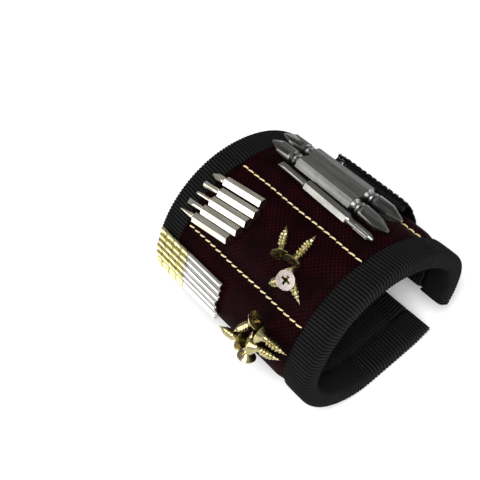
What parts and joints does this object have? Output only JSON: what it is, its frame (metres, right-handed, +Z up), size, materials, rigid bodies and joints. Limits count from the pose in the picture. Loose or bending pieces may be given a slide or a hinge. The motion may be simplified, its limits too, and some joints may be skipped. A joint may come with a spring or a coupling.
{
  "type": "magnetic tool wristband",
  "caption": "Padded cloth wristband with magnets in its pockets, edged in ribbed tape and closed by a hook-and-loop tail, holding steel driver bits, drills and screws.",
  "frame": {"origin": "on the rest face, below the middle of the band", "axes": "+Z up, +Y along the arm towards the hand, +X towards the closure"},
  "size_m": [0.0895, 0.092, 0.0634],
  "materials": {
    "maroon_cloth": "ballistic weave",
    "magnet": "sintered ferrite",
    "padding": "soft foam",
    "lining": "knitted mesh",
    "edge_tape": "ribbed grosgrain",
    "cream_thread": "twisted thread",
    "loop_pile": "napped loop",
    "hook_pile": "moulded hooks",
    "tail_webbing": "woven webbing",
    "black_thread": "twisted thread",
    "dark_steel": "sandblasted grey",
    "nickel_steel": "nickel plated",
    "drill_steel": "bright shank, gold flutes",
    "yellow_zinc": "yellow zinc plated"
  },
  "bodies": {
    "base": {"pocket_cloth_5": "maroon_cloth", "magnets_5": "magnet", "padding_base": "padding", "lining_base": "lining", "edge_tape_base": "edge_tape", "end_tape_tail": "edge_tape", "stitch_row_5": "cream_thread"},
    "side": {"pocket_cloth_4": "maroon_cloth", "magnets_4": "magnet", "padding_side": "padding", "lining_side": "lining", "edge_tape_side": "edge_tape", "stitch_row_4": "cream_thread"},
    "cuff": {"pocket_cloth_0": "maroon_cloth", "pocket_cloth_1": "maroon_cloth", "pocket_cloth_2": "maroon_cloth", "pocket_cloth_3": "maroon_cloth", "magnets_1": "magnet", "magnets_2": "magnet", "magnets_3": "magnet", "padding_cuff": "padding", "lining_cuff": "lining", "edge_tape_cuff": "edge_tape", "end_tape_closure": "edge_tape", "stitch_row_1": "cream_thread", "stitch_row_2": "cream_thread", "stitch_row_3": "cream_thread", "loop_patch": "loop_pile"},
    "tail_root": {"tail_root": "tail_webbing"},
    "tail": {"tail_web": "tail_webbing", "hook_pad": "hook_pile", "tail_stitch": "black_thread"},
    "ph2_bit_front_body": {"ph2_bit_front": "dark_steel"},
    "ph2_bit_back_body": {"ph2_bit_back": "dark_steel"},
    "double_ended_bit_body": {"double_ended_bit": "nickel_steel"},
    "precision_bit_1_body": {"precision_bit_1": "nickel_steel"},
    "precision_bit_2_body": {"precision_bit_2": "nickel_steel"},
    "precision_bit_3_body": {"precision_bit_3": "nickel_steel"},
    "precision_bit_4_body": {"precision_bit_4": "nickel_steel"},
    "precision_bit_5_body": {"precision_bit_5": "nickel_steel"},
    "upper_screws_body": {"upper_screws": "yellow_zinc"},
    "lower_screws_body": {"lower_screws": "yellow_zinc"},
    "twist_drill_1_body": {"twist_drill_1": "drill_steel"},
    "twist_drill_2_body": {"twist_drill_2": "drill_steel"},
    "twist_drill_3_body": {"twist_drill_3": "drill_steel"},
    "twist_drill_4_body": {"twist_drill_4": "drill_steel"},
    "twist_drill_5_body": {"twist_drill_5": "drill_steel"},
    "twist_drill_6_body": {"twist_drill_6": "drill_steel"},
    "twist_drill_7_body": {"twist_drill_7": "drill_steel"}
  },
  "joints": [
    {"name": "band_flex_low", "type": "hinge", "parent": "base", "child": "side", "pos_m": [-0.01145, 0, 0.00084], "axis": [0, -1, 0], "range_deg": [0, 30]},
    {"name": "band_flex_high", "type": "hinge", "parent": "side", "child": "cuff", "pos_m": [-0.03673, 0, 0.01798], "axis": [0, -1, 0], "range_deg": [0, 30]},
    {"name": "tail_peel", "type": "hinge", "parent": "tail_root", "child": "tail", "pos_m": [0.03445, 0, 0.0085], "axis": [0, 1, 0], "range_deg": [0, 60]},
    {"name": "tail_root_flex", "type": "hinge", "parent": "base", "child": "tail_root", "pos_m": [0.02078, 0, 0.00382], "axis": [0, 1, 0], "range_deg": [0, 12]},
    {"name": "lift_ph2_bit_front", "type": "slide", "parent": "cuff", "child": "ph2_bit_front_body", "axis": [0.3868, 0, 0.9222], "range_m": [0, 0.03]},
    {"name": "lift_ph2_bit_back", "type": "slide", "parent": "cuff", "child": "ph2_bit_back_body", "axis": [0.5576, 0, 0.8301], "range_m": [0, 0.03]},
    {"name": "lift_double_ended_bit", "type": "slide", "parent": "cuff", "child": "double_ended_bit_body", "axis": [0.2592, 0, 0.9658], "range_m": [0, 0.03]},
    {"name": "lift_precision_bit_1", "type": "slide", "parent": "cuff", "child": "precision_bit_1_body", "axis": [-0.5276, 0, 0.8495], "range_m": [0, 0.03]},
    {"name": "lift_precision_bit_2", "type": "slide", "parent": "cuff", "child": "precision_bit_2_body", "axis": [-0.4422, 0, 0.8969], "range_m": [0, 0.03]},
    {"name": "lift_precision_bit_3", "type": "slide", "parent": "cuff", "child": "precision_bit_3_body", "axis": [-0.3526, 0, 0.9358], "range_m": [0, 0.03]},
    {"name": "lift_precision_bit_4", "type": "slide", "parent": "cuff", "child": "precision_bit_4_body", "axis": [-0.2596, 0, 0.9657], "range_m": [0, 0.03]},
    {"name": "lift_precision_bit_5", "type": "slide", "parent": "cuff", "child": "precision_bit_5_body", "axis": [-0.1618, 0, 0.9868], "range_m": [0, 0.03]},
    {"name": "lift_upper_screws", "type": "slide", "parent": "cuff", "child": "upper_screws_body", "axis": [-0.3329, 0, 0.943], "range_m": [0, 0.03]},
    {"name": "lift_lower_screws", "type": "slide", "parent": "cuff", "child": "lower_screws_body", "axis": [-0.9084, 0, 0.4182], "range_m": [0, 0.03]},
    {"name": "lift_twist_drill_1", "type": "slide", "parent": "cuff", "child": "twist_drill_1_body", "axis": [-0.7703, 0, 0.6377], "range_m": [0, 0.03]},
    {"name": "lift_twist_drill_2", "type": "slide", "parent": "cuff", "child": "twist_drill_2_body", "axis": [-0.806, 0, 0.5919], "range_m": [0, 0.03]},
    {"name": "lift_twist_drill_3", "type": "slide", "parent": "cuff", "child": "twist_drill_3_body", "axis": [-0.8391, 0, 0.544], "range_m": [0, 0.03]},
    {"name": "lift_twist_drill_4", "type": "slide", "parent": "cuff", "child": "twist_drill_4_body", "axis": [-0.8738, 0, 0.4863], "range_m": [0, 0.03]},
    {"name": "lift_twist_drill_5", "type": "slide", "parent": "cuff", "child": "twist_drill_5_body", "axis": [-0.9356, 0, 0.3531], "range_m": [0, 0.03]},
    {"name": "lift_twist_drill_6", "type": "slide", "parent": "cuff", "child": "twist_drill_6_body", "axis": [-0.9772, 0, 0.2122], "range_m": [0, 0.03]},
    {"name": "lift_twist_drill_7", "type": "slide", "parent": "cuff", "child": "twist_drill_7_body", "axis": [-0.9978, 0, 0.0667], "range_m": [0, 0.03]}
  ],
  "couplings": [
    {"joint": "band_flex_high", "follows": "band_flex_low", "ratio": 1},
    {"joint": "tail_root_flex", "follows": "tail_peel", "ratio": 0.2}
  ]
}
